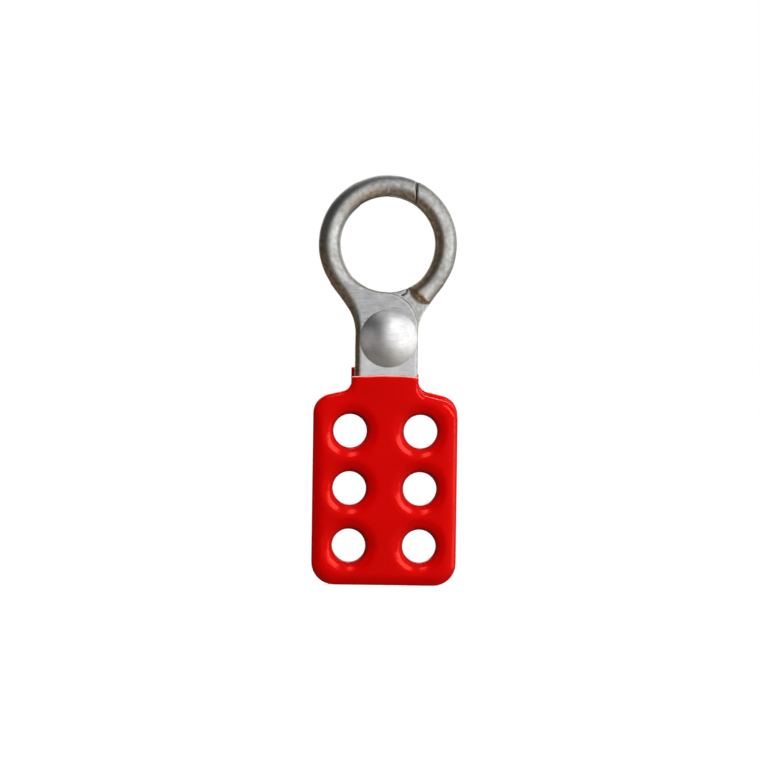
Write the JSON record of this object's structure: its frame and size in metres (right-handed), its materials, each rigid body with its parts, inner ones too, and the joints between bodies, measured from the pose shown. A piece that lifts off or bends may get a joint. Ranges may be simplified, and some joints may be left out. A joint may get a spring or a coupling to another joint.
{
  "type": "lockout hasp",
  "caption": "Scissor-type lockout hasp: cast levers on a domed rivet close into a ring, and the red vinyl-dipped handle has padlock holes.",
  "frame": {"origin": "centre of the closed ring, on the plane where the two levers meet", "axes": "+X to the right seen from the front, +Y from the front to the back, +Z from the handle up towards the ring"},
  "size_m": [0.0388, 0.0122, 0.1103],
  "materials": {
    "cast_aluminium": "as-cast, tumbled satin",
    "rivet_steel": "smooth, lightly polished",
    "red_vinyl": "glossy plastisol dip"
  },
  "bodies": {
    "front_half": {"front_lever": "cast_aluminium", "front_grip": "red_vinyl", "pivot_rivet": "rivet_steel"},
    "rear_half": {"rear_lever": "cast_aluminium", "rear_grip": "red_vinyl"}
  },
  "joints": [
    {"name": "lever_pivot", "type": "hinge", "parent": "front_half", "child": "rear_half", "pos_m": [0, 0, -0.0255], "axis": [0, 1, 0], "range_deg": [0, 88]}
  ]
}
